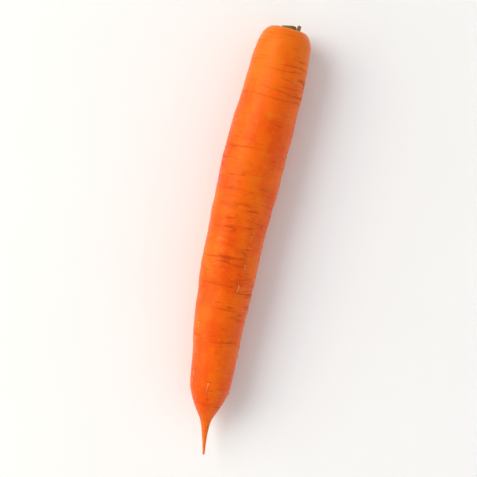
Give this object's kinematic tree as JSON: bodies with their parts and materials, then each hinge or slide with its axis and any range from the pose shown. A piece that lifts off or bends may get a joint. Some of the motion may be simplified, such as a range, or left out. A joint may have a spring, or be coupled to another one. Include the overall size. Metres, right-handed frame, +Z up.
{
  "type": "carrot",
  "caption": "Topped carrot root lying on its side: rounded shoulder, sunken crown with cut leaf-stalk bases, long nearly even side, blunt end and thin tail.",
  "frame": {"origin": "on the resting surface, under the middle of the carrot's bounding box", "axes": "+X along the root towards its crown, -X towards its tail, +Z up from the resting surface; the root bends sideways in the XY plane, its middle towards +Y"},
  "size_m": [0.2064, 0.0312, 0.0287],
  "materials": {
    "skin": "washed carrot skin, satin",
    "stalk_base": "dry, fibrous cut leaf stalk"
  },
  "bodies": {
    "root": {"carrot": "skin"}
  },
  "joints": []
}
